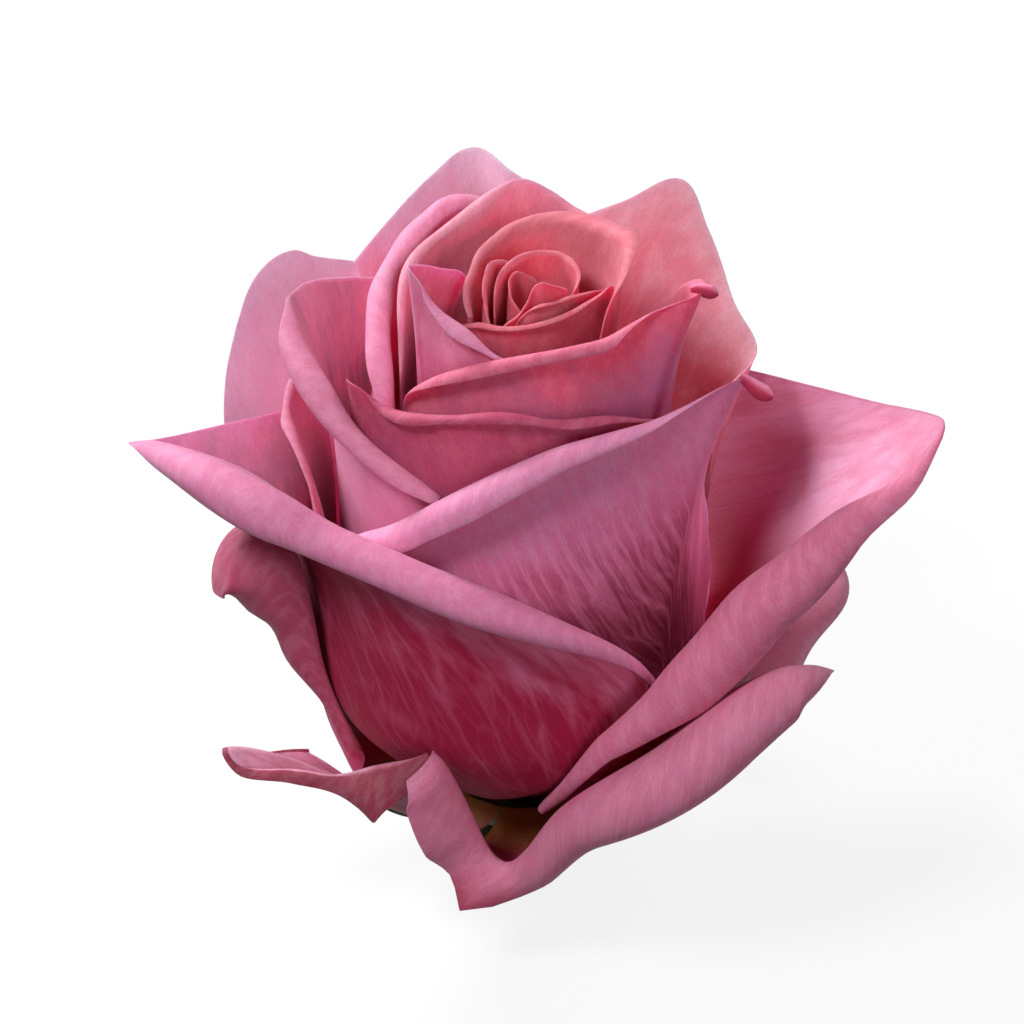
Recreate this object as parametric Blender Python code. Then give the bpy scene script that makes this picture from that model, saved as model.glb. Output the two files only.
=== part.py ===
"""A cut rose flower head, standing on its hip's cut end and three drooping sepals.

Everything is measured in millimetres round the flower's own axis, with z = 0 at the hip's cut end,
and is put on its bounding box centre at the end. Azimuths are in degrees: 0 is +X, 90 is +Y (the back).
"""

import math

import bmesh
import bpy
import numpy as np

MM = 0.001

# driving dimensions, mm and degrees
PETAL_THICK = 0.3
PETAL_FOOT_Z = 9.25
BOWL_HEIGHT = 17.0
CLAW_HALF_ANGLE = 20.0
BUD_CENTRE = (1.3, -1.8)
BUD_LEAN_HEIGHT = 50.0
HIP_PROFILE = [(3.4, 0), (3.5, 1.2), (4.6, 3.0), (6.6, 5.2), (7.9, 7.2), (8.3, 8.4), (8.1, 9.0)]
HIP_SIDES = 28
SEPAL_THICK = 0.5
SEPAL_HALF_WIDTH = 2.9
SEPAL_FOLD = 0.55

ROWS, COLUMNS, ROLL_ROWS = 7, 13, 4
HEART_ROWS, HEART_COLUMNS, HEART_ROLL_ROWS = 6, 11, 3

PETALS = []


def petal(name, **spec):
    PETALS.append((name, spec))


# Each petal rises from a narrow claw on the hip to its crest, the line it folds over, then rolls outward.
# claw: azimuth of the foot. base_r: radius of the foot. wall: radius of the upright part.
# crest rows: azimuth, radius, height, outward lean, roll angle and roll radius beyond the crest.
# A seventh number under 1 turns the roll early, as in a fold, and a negative angle rolls inward.
# flare: how late the wall leaves for the crest. low, mid: the belly of a guard petal.
# guard ring, lowest and most rolled
petal("guard_front", claw=-64, base_r=7.7, wall=19.5, low=(14.5, 5.5), mid=0.28, claw_half=41.5, crest=[
    (-113, 22, 25, 30, 110, 2.2, 0.35), (-110.5, 21.8, 23.8, 25, 110, 3, 0.35),
    (-107.5, 21.4, 21.2, 25, 110, 3.3, 0.35), (-103, 21, 17.2, 30, 110, 3.3, 0.35),
    (-98.5, 20.8, 13.6, 45, 120, 2.4, 0.4), (-96.5, 20.7, 12.7, 50, 130, 3.1, 0.45),
    (-94, 20.9, 12.4, 55, 135, 1.9, 0.55), (-89, 22.2, 14.6, 65, 160, 1.8, 0.9),
    (-80, 25.5, 21.8, 70, 200, 2.4, 1), (-66, 29.5, 28.4, 70, 210, 2.8, 1),
    (-53, 31, 33.2, 60, 200, 2.7, 1), (-43, 32.2, 35.5, 50, 170, 2.5, 1), (-38, 33.2, 34.8, 45, 140, 1.7, 1),
    (-33, 34.3, 33, 40, 60, 0.5, 1),
])
petal("guard_front_left", claw=-126, base_r=7.7, wall=18, low=(14, 8), mid=0.3, crest=[
    (-155, 23, 17.4, 50, 30, 0.6, 0.5), (-152.5, 28, 19.6, 60, 40, 0.6, 0.5),
    (-149.5, 32.6, 22.6, 70, 60, 0.6, 0.5), (-147, 31.8, 21, 70, 80, 0.6, 0.5),
    (-141, 28, 20.8, 60, 110, 0.7, 0.4), (-135, 25.5, 20.9, 55, 125, 1, 0.3),
    (-131, 24.3, 21.4, 50, 130, 1.7, 0.3), (-128, 23.5, 21.8, 45, 130, 2.5, 0.3),
    (-124, 23, 22.4, 40, 130, 1.9, 0.3), (-119, 22.2, 23.2, 35, 130, 1.3, 0.3),
    (-114.8, 21.4, 24.2, 30, 120, 0.6, 0.3),
])
petal("guard_left", claw=168, base_r=7.7, wall=22.5, low=(15.5, 8.5), crest=[
    (135, 27, 22, 40, 140, 1.5, 0.6), (150, 27, 28, 30, 150, 1.8, 0.5), (168, 25.5, 34, 20, 165, 2.9, 0.4),
    (182, 24.6, 38, 12, 168, 3.4, 0.4), (193, 23.4, 39.5, 8, 168, 3.4, 0.4),
    (200, 22.7, 38, 5, 165, 3.4, 0.4), (204, 22.3, 34, 8, 165, 2.7, 0.4),
    (207, 22, 29.5, 15, 165, 1.8, 0.4), (211, 20.8, 24, 30, 160, 1.1, 0.4),
    (214, 19.3, 18.5, 50, 120, 0.8, 0.5),
])
petal("guard_right", claw=18, base_r=7.7, wall=22, low=(15, 8.5), crest=[
    (-6, 20, 12, 70, 60, 1), (1, 25, 16.5, 60, 60, 1), (8, 28.2, 20.9, 60, 60, 1),
    (12, 32.2, 25, 60, 60, 1), (22, 31.8, 27, 50, 120, 1.3), (38, 31, 29, 50, 150, 2.2),
    (52, 29, 29, 50, 160, 2.2), (66, 27, 27, 50, 120, 1.5),
])
petal("guard_back", claw=90, base_r=7.7, wall=21, low=(15, 8), crest=[
    (68, 24, 18, 60, 60, 1.5), (78, 28, 24, 60, 140, 2.5), (90, 31, 28, 55, 180, 3),
    (102, 33, 31, 50, 160, 2), (114, 31, 28, 55, 180, 3), (126, 26, 22, 60, 120, 2),
    (132, 22, 17, 60, 80, 1.5),
])
# second ring, the two long petals that wrap the flower
petal("long_left", claw=222, base_r=6.7, wall=20.6, flare=7, crest=[
    (160, 22.5, 45.5, 30, 5, 3), (166, 24, 46.5, 40, 5, 3), (171, 26.8, 46.7, 50, 5, 3),
    (175, 30, 46.8, 55, 6, 2), (178.5, 33.8, 46.8, 60, 8, 1.2), (181, 37.2, 47.1, 65, 10, 0.8),
    (190, 34.4, 50.3, 55, 120, 1.3), (203, 31, 52.6, 45, 170, 2.2),
    (215, 27.5, 51, 30, 200, 2.2), (224, 25, 48.5, 20, 210, 1.7), (240, 23, 46.6, 10, 210, 1.8),
    (262, 22.3, 43.8, 5, 210, 1.8), (285, 22, 38.8, 5, 200, 1.1), (298, 21.6, 34.4, 5, 190, 0.6),
    (304, 21.2, 31, 5, 160, 0.6),
])
petal("long_right", claw=-22, base_r=6.9, wall=21.8, flare=2.4, claw_half=24, crest=[
    (-84, 16.8, 15.8, 50, 120, 0.25), (-72, 21.3, 24.4, 35, 180, 1.25),
    (-61, 23.6, 30.9, 30, 200, 2.05), (-56, 24.2, 33.7, 30, 205, 2.7), (-51, 25, 36.5, 30, 210, 2.85),
    (-43, 26.6, 41.2, 30, 200, 3),
    (-36, 29, 44.4, 35, 180, 2.8), (-28, 32.5, 48.1, 45, 150, 2.3), (-20, 37, 50.2, 55, 100, 1.6),
    (-15, 39.8, 53.3, 60, 40, 1), (-11, 40, 53.3, 60, 15, 1), (-2, 38.5, 50.7, 55, 5, 3),
    (10, 34.5, 47.6, 50, 5, 3), (22, 30.5, 46.2, 40, 5, 3), (34, 27.8, 45.4, 30, 5, 3),
    (48, 26, 44.5, 25, 5, 3),
])
petal("back_left", claw=140, base_r=6.7, wall=20.3, flare=5, crest=[
    (112, 27.5, 51.2, 30, 4, 5), (122, 29, 52.6, 35, 4, 5), (131, 31.3, 53.9, 38, 4, 5),
    (134.5, 32, 55, 40, 4, 5), (142, 31.8, 55.2, 38, 4, 5), (150, 31, 53.8, 35, 4, 5),
    (154, 31.2, 50, 30, 4, 5), (157, 31.3, 46.2, 25, 4, 5), (159, 31, 41, 20, 4, 5),
    (160, 28.5, 36, 15, 4, 5),
])
petal("back_right", claw=54, base_r=6.7, wall=20, flare=3, crest=[
    (27, 21.8, 45.3, 20, 4, 5), (28.5, 23.6, 46.7, 20, 4, 5), (30.5, 25.8, 47.8, 20, 4, 5),
    (33, 27, 49, 30, 4, 5),
    (42, 27.8, 51.8, 35, 4, 5), (52, 29.5, 57.3, 40, 4, 5), (59, 30.5, 61.2, 45, 4, 5),
    (68, 27.3, 59.2, 35, 4, 5), (82, 24.3, 56.8, 20, 4, 5),
])
# third ring
petal("back_top", claw=102, base_r=5.7, wall=19.2, flare=4, crest=[
    (72, 22.3, 59, 20, 4, 5), (82, 23, 60.5, 25, 4, 5), (92, 25, 62.5, 35, 4, 5),
    (100, 29, 63.5, 45, 4, 5), (108, 28.3, 61.3, 35, 4, 5), (120, 26.5, 58, 30, 4, 5),
    (130, 25.5, 55.5, 25, 4, 5),
])
petal("thin_left", claw=190, base_r=5.7, wall=19.3, flare=5, crest=[
    (158, 22.2, 50.2, 10, 90, 0.5), (166, 22.3, 50.6, 10, 120, 0.5), (172, 22.2, 50.3, 10, 130, 0.5),
    (179, 22.1, 50.1, 10, 130, 0.5), (185, 22, 50, 10, 130, 0.5), (190, 21.8, 49.8, 10, 120, 0.5),
    (194, 21.7, 49.5, 10, 110, 0.45), (198, 21.7, 49, 10, 100, 0.4), (202, 21.7, 48.2, 10, 90, 0.4),
    (206, 21.8, 47, 10, 60, 0.4), (210, 22, 45, 10, 40, 0.4), (212.5, 21.8, 42.5, 10, 30, 0.4),
])
petal("cup_front", claw=298, base_r=5.7, wall=18.2, crest=[
    (212, 18.9, 41, 0, 120, 0.8), (222, 18.9, 43.5, 0, 180, 1.3), (233, 19, 46, 0, 200, 1.6),
    (245, 18.5, 49, 0, 200, 1.6), (257, 18.2, 51.8, 0, 200, 1.6), (268, 18.1, 54.2, 0, 200, 1.4),
    (281, 18, 56.2, 0, 190, 1.2), (296, 18.4, 57.3, 5, 180, 0.9), (308, 19.5, 58.2, 15, 150, 0.7),
    (317, 21.8, 60.3, 30, 100, 0.6), (323, 25, 62.8, 45, 40, 0.5), (326.5, 22.5, 58.6, 30, 50, 0.5),
    (331, 20.4, 54.8, 20, 50, 0.5), (335, 19, 51, 10, 50, 0.5), (338.5, 18.3, 46, 5, 50, 0.5),
    (342, 18.3, 40, 0, 50, 0.5), (345, 18.5, 35, 0, 40, 0.4),
])
# fourth ring
petal("cup_left", claw=160, base_r=4.7, wall=17.4, flare=7, crest=[
    (118, 19.5, 53, 10, 60, 0.8), (135, 21.5, 56, 20, 40, 0.8), (155, 22.3, 58.7, 20, 30, 0.8),
    (172, 22, 61, 20, 30, 0.8), (184, 21.7, 62.3, 20, 50, 0.9), (193, 21, 60.8, 15, 140, 1.2),
    (205, 19.9, 58.4, 5, 185, 1.4), (218, 19.2, 55.3, 0, 185, 1.2), (232, 18.1, 52.2, 0, 185, 0.9),
    (243, 17.4, 50, 0, 160, 0.6),
])
petal("cup_right", claw=20, base_r=4.7, wall=17.3, crest=[
    (-24, 17.3, 32, 0, 60, 0.8), (-5, 17.3, 36, 0, 80, 0.8), (18, 17.4, 39, 0, 80, 0.8),
    (42, 17.4, 40, 0, 80, 0.8), (65, 17.4, 39, 0, 80, 0.8), (85, 17.4, 36, 0, 60, 0.8),
])
petal("cup_front_inner", claw=250, base_r=4.7, wall=16.3, crest=[
    (200, 16.7, 54, 0, 60, 0.8), (206, 18, 57.5, 10, 60, 0.6), (213, 19, 59.3, 20, 30, 0.5),
    (219, 17.3, 57.8, 5, 150, 0.6), (230, 16.8, 57.4, 0, 190, 0.6), (247, 16.5, 58.6, 0, 190, 0.5),
    (266, 16.4, 59.4, 0, 190, 0.5), (284, 16.4, 58.4, 0, 180, 0.45), (300, 16.5, 57.9, 0, 160, 0.5),
    (316, 16.8, 56, 0, 120, 0.5),
])
# fifth ring, closing round the bud
petal("ring_left", claw=107, base_r=4.7, wall=15.6, crest=[
    (98, 13.4, 63.6, 5, 60, 0.8), (110, 13.6, 65, 10, 120, 0.9), (119, 13.6, 65.4, 10, 140, 1),
    (130, 13.1, 64.5, 5, 170, 1.05), (146, 12.6, 63.3, 0, 185, 1.05), (163, 12.3, 62.8, 0, 190, 1.05),
    (180, 12.4, 61.8, 0, 190, 1.05), (192, 12.9, 60, 0, 190, 1), (203, 13.5, 57.3, 0, 180, 1),
    (211, 13.9, 53.5, 0, 150, 0.9), (216, 14.1, 49, 0, 100, 0.8),
])
petal("ring_back", claw=75, base_r=3.7, wall=12.2, centre=(0.6, -2), crest=[
    (46, 10.2, 62.5, 0, 60, 0.8), (55, 11.4, 64.6, 5, 120, 0.8), (64, 12.4, 65.4, 15, 150, 0.7),
    (74, 13.3, 66, 20, 130, 0.6), (83, 14.1, 67.3, 20, 80, 0.5), (93, 14.5, 68.2, 20, 60, 0.5),
    (101, 14.1, 67.3, 20, 90, 0.5), (110, 13.4, 66.2, 15, 140, 0.6), (126, 12.9, 65, 10, 160, 0.55),
    (148, 12.2, 64.2, 0, 165, 0.5), (168, 11.7, 63.4, 0, 165, 0.4), (180, 11.7, 62, 0, 160, 0.3),
    (189, 11.9, 58.5, 0, 150, 0.25), (200, 12.4, 53.5, 0, 120, 0.25),
])
petal("bud_front", claw=325, base_r=3.7, wall=13.4, crest=[
    (215, 13.1, 54, 0, 60, 0.5), (222, 13, 57, 0, 120, 0.6), (234, 12.6, 59.3, 0, 160, 0.8),
    (252, 12.5, 61.7, 0, 190, 0.8), (272, 12.6, 63.3, 0, 190, 0.8), (290, 12.9, 64, 0, 190, 0.8),
    (306, 13.6, 64.3, 5, 170, 0.7), (316, 15.8, 66.4, 20, 100, 0.6), (322, 20, 69.8, 45, 40, 0.5),
    (330, 18.5, 68.5, 30, 60, 0.8), (345, 16, 66, 10, 90, 0.8), (360, 14.5, 63, 5, 90, 0.8),
    (375, 14, 59, 0, 60, 0.8),
])
# bud
petal("bud_left", claw=205, base_r=3.7, wall=10.8, crest=[
    (160, 5.9, 63.7, 0, 20, 0.3), (172, 6, 65, 0, 20, 0.3), (190, 7.3, 66.3, 0, 30, 0.35),
    (204, 10, 68.2, 5, 30, 0.35), (212, 12.2, 69.5, 10, 30, 0.35), (217, 13, 70, 15, 30, 0.4),
    (223, 12.3, 67.6, 5, 120, 0.5), (234, 11.6, 65.5, 0, 180, 0.6), (249, 11.2, 63.7, 0, 180, 0.6),
    (262, 11, 62, 0, 160, 0.5),
])
petal("bud_back", claw=55, base_r=2.8, wall=6.6, centre=BUD_CENTRE, crest=[
    (-44, 8.2, 62.5, 0, 20, 0.4), (-39, 8.4, 65, 5, 20, 0.4), (-30, 8.6, 67.2, 15, 60, 0.7),
    (-14, 8.2, 68.6, 20, 90, 1), (6, 7.9, 68.6, 20, 110, 1.2), (36, 7.7, 67.6, 15, 130, 1.2),
    (61, 8, 67.2, 15, 140, 1), (82, 8.4, 67.1, 10, 140, 0.7), (103, 8, 66.5, 5, 140, 0.6),
    (120, 7.2, 66, 0, 140, 0.5), (143, 6.4, 65.6, 0, 140, 0.45), (158, 6.1, 65.1, 0, 140, 0.4),
    (173, 6.2, 64.2, 0, 130, 0.45), (183, 6.2, 63.3, 0, 120, 0.45), (195, 6.2, 62.3, 0, 100, 0.4),
])
# heart of the bud
petal("heart_front", claw=275, base_r=2.8, wall=7.4, crest=[
    (222, 7.8, 62.5, 0, 120, 0.4), (235, 6.9, 62.8, 0, 150, 0.4), (252, 6.9, 63, 0, 150, 0.4),
    (272, 7, 63.4, 0, 150, 0.4), (291, 7.3, 64, 0, 150, 0.4), (310, 7.8, 64.7, 0, 130, 0.4),
    (325, 8.6, 65.6, 5, 90, 0.4), (333, 9, 65.9, 5, 60, 0.4), (337, 8.9, 64, 0, 40, 0.4),
])
petal("heart_a", claw=170, base_r=2.2, wall=5.7, centre=BUD_CENTRE, crest=[
    (110, 3.9, 62.7, 0, 40, 0.35), (125, 4.6, 64.9, 0, 80, 0.35), (140, 5, 65.3, 0, 100, 0.35),
    (165, 4.7, 64.9, 0, 100, 0.35), (190, 4.8, 64, 0, 90, 0.35), (210, 5, 62.2, 0, 60, 0.35),
    (220, 5, 60.5, 0, 40, 0.35),
])
petal("heart_b", claw=60, base_r=2.2, wall=4.8, centre=BUD_CENTRE, crest=[
    (-20, 3.4, 64, 0, 40, 0.4), (5, 3.8, 65.2, 0, 80, 0.4), (35, 3.9, 65.8, 0, 90, 0.4),
    (65, 4.1, 66, 0, 100, 0.4), (95, 3.6, 66, 0, 100, 0.4), (125, 3.2, 65.8, 0, 100, 0.4),
    (155, 3.4, 65.1, 0, 90, 0.4), (185, 3.8, 64, 0, 60, 0.4), (205, 4.2, 62.5, 0, 40, 0.4),
])
petal("heart_c", claw=290, base_r=2.2, wall=4.3, centre=BUD_CENTRE, crest=[
    (225, 4.9, 61, 0, 60, 0.4), (238, 4.3, 63, 0, 100, 0.4), (255, 3.6, 64.5, 0, 90, 0.4),
    (268, 3.1, 66.2, 5, 60, 0.4), (278, 3.1, 66.8, 10, 40, 0.4), (292, 3, 66.3, 5, 60, 0.4),
    (315, 3.1, 65.6, 0, 60, 0.4), (340, 3, 64.8, 0, 40, 0.4),
])
petal("heart_d", claw=200, base_r=1.2, wall=3.2, centre=BUD_CENTRE, crest=[
    (90, 1.9, 64.2, 0, 40, 0.3), (120, 2.2, 64.9, 0, 50, 0.3), (145, 2.4, 65.4, 0, 60, 0.3),
    (170, 2.5, 65, 0, 60, 0.3), (200, 2.5, 64, 0, 60, 0.3), (235, 2.3, 63, 0, 40, 0.3),
    (270, 2, 62.2, 0, 30, 0.3),
])
petal("heart_e", claw=332, base_r=2.8, wall=4.9, centre=BUD_CENTRE, crest=[
    (246, 4.4, 62, 0, 60, 0.3), (258, 4.3, 64.3, 0, 100, 0.3), (275, 4.2, 65, 0, 130, 0.3),
    (300, 4.2, 65.3, 0, 140, 0.3), (318, 4.7, 65.5, 0, 130, 0.3), (336, 5.5, 65.4, 0, 100, 0.3),
    (350, 6.2, 64.9, 0, 60, 0.3),
])

# azimuth, then the midrib's radius and height from foot to tip
SEPALS = [
    ("sepal_front", 252, [(8.5, 7.4), (9.8, 6.2), (9.9, 3.9), (8.7, 1.6), (7.6, 0.17)]),
    ("sepal_right", 342, [(8.5, 7.5), (11.5, 7.0), (14.5, 7.9), (17.5, 10.2), (20.0, 13.3)]),
    ("sepal_back_right", 54, [(8.5, 7.5), (12.0, 7.2), (15.5, 5.4), (18.8, 2.7), (21.6, 0.22)]),
    ("sepal_back_left", 126, [(8.5, 7.5), (12.0, 7.2), (15.5, 5.4), (18.8, 2.7), (21.6, 0.22)]),
    ("sepal_left", 198, [(8.5, 7.5), (11.5, 6.9), (14.3, 7.9), (17.0, 9.9)]),
]


def cartesian(rows):
    angle = np.radians(rows[..., 0])
    radius = rows[..., 1]
    return np.stack([radius * np.cos(angle), radius * np.sin(angle), rows[..., 2]], -1)


def smooth_curve(points, count, to_xyz):
    """Points spaced evenly along a centripetal Catmull-Rom curve through the given ones."""
    p = np.asarray(points, float)
    gaps = np.linalg.norm(np.diff(to_xyz(p), axis=0), axis=1)
    knots = np.concatenate([[0], np.cumsum(gaps**0.5)])
    k = np.concatenate([[-knots[1]], knots, [2 * knots[-1] - knots[-2]]])
    full = np.vstack([2 * p[0] - p[1], p, 2 * p[-1] - p[-2]])
    t = np.linspace(0, knots[-1], 12 * count)
    i = np.clip(np.searchsorted(k, t, side="right") - 1, 1, len(p) - 1)
    t0, t1, t2, t3 = (k[i + j][:, None] for j in (-1, 0, 1, 2))
    p0, p1, p2, p3 = (full[i + j] for j in (-1, 0, 1, 2))
    t = t[:, None]

    def mix(a, b, ta, tb):
        return ((tb - t) * a + (t - ta) * b) / (tb - ta)

    a1, a2, a3 = mix(p0, p1, t0, t1), mix(p1, p2, t1, t2), mix(p2, p3, t2, t3)
    curve = mix(mix(a1, a2, t0, t2), mix(a2, a3, t1, t3), t1, t2)
    steps = np.linalg.norm(np.diff(to_xyz(curve), axis=0), axis=1)
    length = np.concatenate([[0], np.cumsum(steps)])
    want = np.linspace(0, length[-1], count)
    return np.stack([np.interp(want, length, curve[:, j]) for j in range(p.shape[1])], 1)


def guard_body(spec, r_c, z_c, lean, t):
    """Radius and height of a guard petal's ribs: a quartic Bezier that sags before it rises."""
    base_r = spec["base_r"]
    low_r, low_z = spec["low"]
    height = z_c - PETAL_FOOT_Z
    full = np.ones(len(r_c))
    lean = np.radians(lean)
    reach = np.hypot(r_c - base_r, height) * 0.3
    mid_z = PETAL_FOOT_Z + height * spec.get("mid", 0.45)
    ctrl_r = [base_r * full, low_r * full, spec["wall"] * full, r_c - reach * np.sin(lean), r_c]
    ctrl_z = [PETAL_FOOT_Z * full, low_z * full, mid_z, z_c - reach * np.cos(lean), z_c]
    weight = [math.comb(4, j) * (1 - t) ** (4 - j) * t**j for j in range(5)]
    r = sum(w * c[None] for w, c in zip(weight, ctrl_r))
    z = sum(w * c[None] for w, c in zip(weight, ctrl_z))
    return r, z


def cup_body(spec, r_c, z_c, t):
    """Radius and height of a cupped petal's ribs: a bowl, then a wall, then the flare to the crest."""

    def bowl(z):
        rise = np.clip((z - PETAL_FOOT_Z) / BOWL_HEIGHT, 0, 1)
        return spec["base_r"] + (spec["wall"] - spec["base_r"]) * np.sin(math.pi / 2 * rise)

    z = PETAL_FOOT_Z + (z_c - PETAL_FOOT_Z)[None] * t
    r = bowl(z) + (r_c - bowl(z_c))[None] * t ** spec.get("flare", 4.0)
    return r, z


def petal_sheet(spec, columns, rows, roll_rows):
    """The petal's middle surface as a grid of points, from its foot over the crest to its margin."""
    az_c, r_c, z_c, lean, curl, bend, *rest = smooth_curve(spec["crest"], columns, cartesian).T
    fold = rest[0] if rest else np.ones(columns)
    t = np.linspace(0, 1, rows)[:, None]
    if "low" in spec:
        r, z = guard_body(spec, r_c, z_c, lean, t)
    else:
        r, z = cup_body(spec, r_c, z_c, t)
    az_foot = spec["claw"] + np.linspace(-1, 1, columns) * spec.get("claw_half", CLAW_HALF_ANGLE)
    fan = 1 - (1 - t) ** 1.8
    body = cartesian(np.stack([az_foot[None] + (az_c - az_foot)[None] * fan, r, z], -1))
    lift = np.clip((z - PETAL_FOOT_Z) / BUD_LEAN_HEIGHT, 0, 1) ** 1.5
    body[..., :2] += lift[..., None] * np.array(spec.get("centre", (0, 0)))
    crest = body[-1]
    along = np.gradient(crest, axis=0)
    along /= np.linalg.norm(along, axis=1)[:, None]
    up = crest - body[-2]
    up /= np.linalg.norm(up, axis=1)[:, None]
    out = np.cross(along, up)
    out /= np.linalg.norm(out, axis=1)[:, None]
    over = np.cross(out, along)
    sheet = list(body)
    steps = roll_rows * 8
    s = (np.arange(steps)[:, None] + 0.5) / steps
    phi = (np.radians(curl) * s ** fold)[..., None]
    length = bend * np.radians(np.abs(curl)) / steps
    run = np.cumsum(np.cos(phi) * over + np.sin(phi) * out, axis=0) * length[:, None]
    return np.concatenate([sheet, crest + run[7::8]])


def sepal_sheet(azimuth, midrib, columns=5, rows=9):
    """A narrow blade folded a little along its midrib, widest at a third of its length."""
    rib = smooth_curve(midrib, rows, lambda p: np.pad(p, ((0, 0), (0, 1))))
    step = np.gradient(rib, axis=0)
    step /= np.linalg.norm(step, axis=1)[:, None]
    angle = math.radians(azimuth)
    outward = np.array([math.cos(angle), math.sin(angle), 0])
    side = np.array([-math.sin(angle), math.cos(angle), 0])
    sheet = []
    for j, (r, z) in enumerate(rib):
        s = j / (rows - 1)
        half = SEPAL_HALF_WIDTH * (0.55 + 1.35 * s) * (1 - s**1.6) + 0.25
        middle = outward * r + np.array([0, 0, z])
        normal = np.array([0, 0, 1]) * step[j][0] - outward * step[j][1]
        row = []
        for u in np.linspace(-1, 1, columns):
            row.append(middle + side * u * half + normal * SEPAL_FOLD * (abs(u) - 0.5) * half / 3)
        sheet.append(row)
    return np.array(sheet)


def thickened(sheet, thick):
    """Vertices and faces of the closed solid with this middle surface."""
    du = np.gradient(sheet, axis=1)
    dv = np.gradient(sheet, axis=0)
    normal = np.cross(du, dv)
    normal /= np.linalg.norm(normal, axis=-1)[..., None] + 1e-9
    rows, columns = sheet.shape[:2]
    count = rows * columns
    points = np.concatenate(
        [(sheet + normal * thick / 2).reshape(-1, 3), (sheet - normal * thick / 2).reshape(-1, 3)]
    )
    faces = []
    for i in range(rows - 1):
        for j in range(columns - 1):
            a, b = i * columns + j, i * columns + j + 1
            c, d = b + columns, a + columns
            faces += [(a, b, c), (a, c, d)]
            faces += [(count + a, count + c, count + b), (count + a, count + d, count + c)]
    rim = list(range(columns))
    rim += [i * columns + columns - 1 for i in range(1, rows)]
    rim += [(rows - 1) * columns + j for j in range(columns - 2, -1, -1)]
    rim += [i * columns for i in range(rows - 2, 0, -1)]
    for a, b in zip(rim, rim[1:] + rim[:1]):
        faces += [(a, count + a, b), (b, count + a, count + b)]
    return points, faces


def lathed(profile, sides):
    points = [(0, 0, profile[0][1])]
    for r, z in profile:
        for k in range(sides):
            angle = 2 * math.pi * k / sides
            points.append((r * math.cos(angle), r * math.sin(angle), z))
    points.append((0, 0, profile[-1][1]))
    faces = []
    for k in range(sides):
        nxt = (k + 1) % sides
        faces.append((0, 1 + nxt, 1 + k))
        for j in range(len(profile) - 1):
            low, high = 1 + j * sides, 1 + (j + 1) * sides
            faces.append((low + k, low + nxt, high + nxt))
            faces.append((low + k, high + nxt, high + k))
        top = 1 + (len(profile) - 1) * sides
        faces.append((len(points) - 1, top + k, top + nxt))
    return np.array(points, float), faces


def material(name, colour, roughness):
    made = bpy.data.materials.new(name)
    made.use_nodes = True
    shader = made.node_tree.nodes["Principled BSDF"]
    shader.inputs["Base Color"].default_value = (*colour, 1)
    shader.inputs["Roughness"].default_value = roughness
    return made


def add_solid(name, points, faces, look):
    mesh = bpy.data.meshes.new(name)
    mesh.from_pydata([tuple(p) for p in points * MM], [], faces)
    work = bmesh.new()
    work.from_mesh(mesh)
    bmesh.ops.recalc_face_normals(work, faces=work.faces)
    if work.calc_volume(signed=True) < 0:
        bmesh.ops.reverse_faces(work, faces=work.faces)
    work.to_mesh(mesh)
    work.free()
    mesh.materials.append(look)
    obj = bpy.data.objects.new(name, mesh)
    bpy.context.scene.collection.objects.link(obj)
    return obj


def put_on_box_centre(objects):
    """Moves the whole model so that its box stands on the origin, bottom centre."""
    corners = np.array([v.co for obj in objects for v in obj.data.vertices])
    low, high = corners.min(axis=0), corners.max(axis=0)
    shift = np.array([-(low[0] + high[0]) / 2, -(low[1] + high[1]) / 2, -low[2]])
    for obj in objects:
        for vertex in obj.data.vertices:
            vertex.co = vertex.co + type(vertex.co)(shift)


def main():
    for obj in list(bpy.data.objects):
        bpy.data.objects.remove(obj)
    solids = []
    hip_points, hip_faces = lathed(HIP_PROFILE, HIP_SIDES)
    solids.append(add_solid("hip", hip_points, hip_faces, material("hip_green", (0.16, 0.2, 0.05), 0.6)))
    for name, azimuth, midrib in SEPALS:
        points, faces = thickened(sepal_sheet(azimuth, midrib), SEPAL_THICK)
        solids.append(add_solid(name, points, faces, material(name + "_green", (0.14, 0.24, 0.06), 0.6)))
    for name, spec in PETALS:
        heart = name.startswith("heart")
        grid = (HEART_COLUMNS, HEART_ROWS, HEART_ROLL_ROWS) if heart else (COLUMNS, ROWS, ROLL_ROWS)
        points, faces = thickened(petal_sheet(spec, *grid), PETAL_THICK)
        look = material("petal_" + name, (0.62, 0.14, 0.3), 0.5)
        solids.append(add_solid("petal_" + name, points, faces, look))
    put_on_box_centre(solids)


main()
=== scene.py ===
"""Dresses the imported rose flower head: fine petals, sepals and hip, their looks, light and camera.

The petals are the same curves as the CAD solids, measured in millimetres round the flower's axis,
drawn with many more rows, with a slight ripple and with margins that thin out. Azimuth 0 is +X and
90 is +Y (the back).
"""

import math

import bpy
import numpy as np
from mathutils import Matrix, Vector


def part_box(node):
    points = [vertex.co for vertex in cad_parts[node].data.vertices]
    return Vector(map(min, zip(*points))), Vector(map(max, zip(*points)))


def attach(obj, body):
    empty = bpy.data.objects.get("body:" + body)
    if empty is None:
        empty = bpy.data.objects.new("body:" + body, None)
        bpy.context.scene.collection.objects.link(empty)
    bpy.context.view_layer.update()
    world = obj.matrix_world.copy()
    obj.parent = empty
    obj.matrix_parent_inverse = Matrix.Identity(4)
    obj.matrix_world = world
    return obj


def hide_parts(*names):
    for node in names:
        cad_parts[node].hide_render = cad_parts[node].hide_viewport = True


MM = 0.001
# grid of a petal: columns across, rows from foot to crest, rows beyond the crest
COLUMNS, ROWS, ROLL_ROWS = 73, 40, 20
# mm: thickness in the middle and at the margin, and the width over which it thins
PETAL_THICK = 0.3
MARGIN_THICK = 0.12
THINNING = 1.8
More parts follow.
